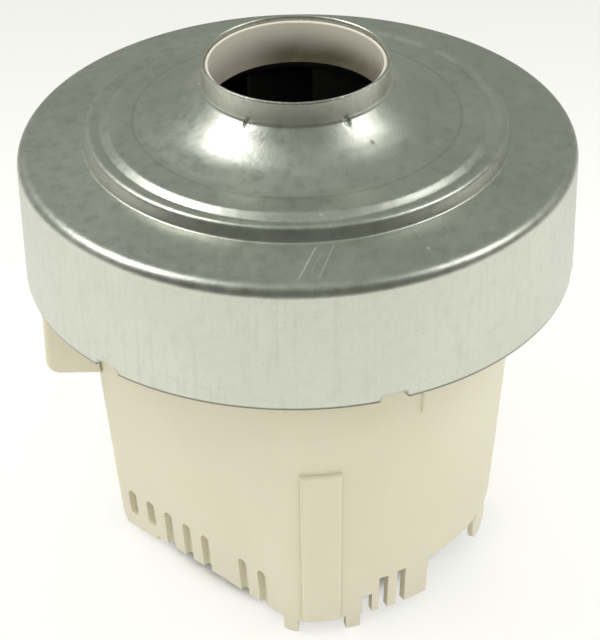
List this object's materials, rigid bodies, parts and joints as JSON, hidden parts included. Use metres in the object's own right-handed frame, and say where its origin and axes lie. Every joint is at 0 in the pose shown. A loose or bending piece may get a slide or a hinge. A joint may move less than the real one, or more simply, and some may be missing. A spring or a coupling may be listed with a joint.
{
  "type": "vacuum cleaner motor",
  "caption": "Flow-through vacuum motor with a drawn metal fan casing, an inlet collar and a moulded plastic motor housing.",
  "frame": {"origin": "on the motor's axis, in the plane of the housing's feet", "axes": "+Z along the motor's axis, out of the inlet; the pictured front faces -Y; the connector shroud is on -X"},
  "size_m": [0.135, 0.135, 0.1365],
  "materials": {
    "zinc_sheet": "drawn zinc-coated sheet, satin",
    "cream_plastic": "moulded, satin",
    "ivory_plastic": "moulded, smooth",
    "fan_plastic": "moulded, satin",
    "black_plastic": "moulded",
    "steel": "turned",
    "zinc_screw": "zinc plated",
    "bearing_steel": "ground",
    "cage_plastic": "moulded",
    "lamination": "stacked sheet",
    "enamel_wire": "varnished winding",
    "copper": "turned copper",
    "brass": "stamped",
    "hub_resin": "moulded resin",
    "brown_resin": "moulded resin",
    "carbon": "pressed carbon",
    "spring_steel": "drawn wire",
    "lead_insulation": "insulated wire"
  },
  "bodies": {
    "root": {"fan_casing": "zinc_sheet", "inlet_insert": "ivory_plastic", "diffuser": "black_plastic", "diffuser_screws": "zinc_screw", "bearing_bracket": "zinc_sheet", "bracket_screws": "zinc_screw", "upper_bearing_outer_ring": "bearing_steel", "lower_bearing_outer_ring": "bearing_steel", "preload_washer": "spring_steel", "motor_housing": "cream_plastic", "stator_core": "lamination", "rear_field_coil": "enamel_wire", "front_field_coil": "enamel_wire", "stator_screws": "zinc_screw", "front_terminal": "brass", "rear_terminal": "brass", "terminal_leads": "lead_insulation", "coil_leads": "lead_insulation", "brush_holder_screws": "zinc_screw", "left_brush_holder": "brown_resin", "left_brush_tube": "brass", "left_brush_spring": "spring_steel", "left_brush_cap": "brass", "right_brush_holder": "brown_resin", "right_brush_tube": "brass", "right_brush_spring": "spring_steel", "right_brush_cap": "brass"},
    "rotor": {"shaft": "steel", "impeller_front_plate": "fan_plastic", "impeller_vanes": "fan_plastic", "impeller_back_plate": "fan_plastic", "fan_spacer": "steel", "fan_washer": "steel", "fan_nut": "zinc_screw", "upper_bearing_inner_ring": "bearing_steel", "lower_bearing_inner_ring": "bearing_steel", "armature_core": "lamination", "armature_winding": "enamel_wire", "commutator_hub": "hub_resin", "commutator_bars": "copper"},
    "upper_ball_set": {"upper_bearing_balls": "bearing_steel", "upper_bearing_cage": "cage_plastic"},
    "lower_ball_set": {"lower_bearing_balls": "bearing_steel", "lower_bearing_cage": "cage_plastic"},
    "left_brush": {"left_carbon_brush": "carbon", "left_brush_shunt": "copper"},
    "right_brush": {"right_carbon_brush": "carbon", "right_brush_shunt": "copper"}
  },
  "joints": [
    {"name": "rotor_spin", "type": "hinge", "parent": "root", "child": "rotor", "pos_m": [0, 0, 0], "axis": [0, 0, 1], "continuous": true},
    {"name": "upper_balls_roll", "type": "hinge", "parent": "root", "child": "upper_ball_set", "pos_m": [0, 0, 0.0855], "axis": [0, 0, 1], "continuous": true},
    {"name": "lower_balls_roll", "type": "hinge", "parent": "root", "child": "lower_ball_set", "pos_m": [0, 0, 0.0134], "axis": [0, 0, 1], "continuous": true},
    {"name": "left_brush_slide", "type": "slide", "parent": "root", "child": "left_brush", "axis": [-1, 0, 0], "range_m": [0, 0.005], "stiffness_N_per_m": 300, "springref_m": -0.008, "deforming": ["left_brush_spring"]},
    {"name": "right_brush_slide", "type": "slide", "parent": "root", "child": "right_brush", "axis": [1, 0, 0], "range_m": [0, 0.005], "stiffness_N_per_m": 300, "springref_m": -0.008, "deforming": ["right_brush_spring"]}
  ],
  "couplings": [
    {"joint": "upper_balls_roll", "follows": "rotor_spin", "ratio": 0.3733},
    {"joint": "lower_balls_roll", "follows": "rotor_spin", "ratio": 0.3733}
  ]
}
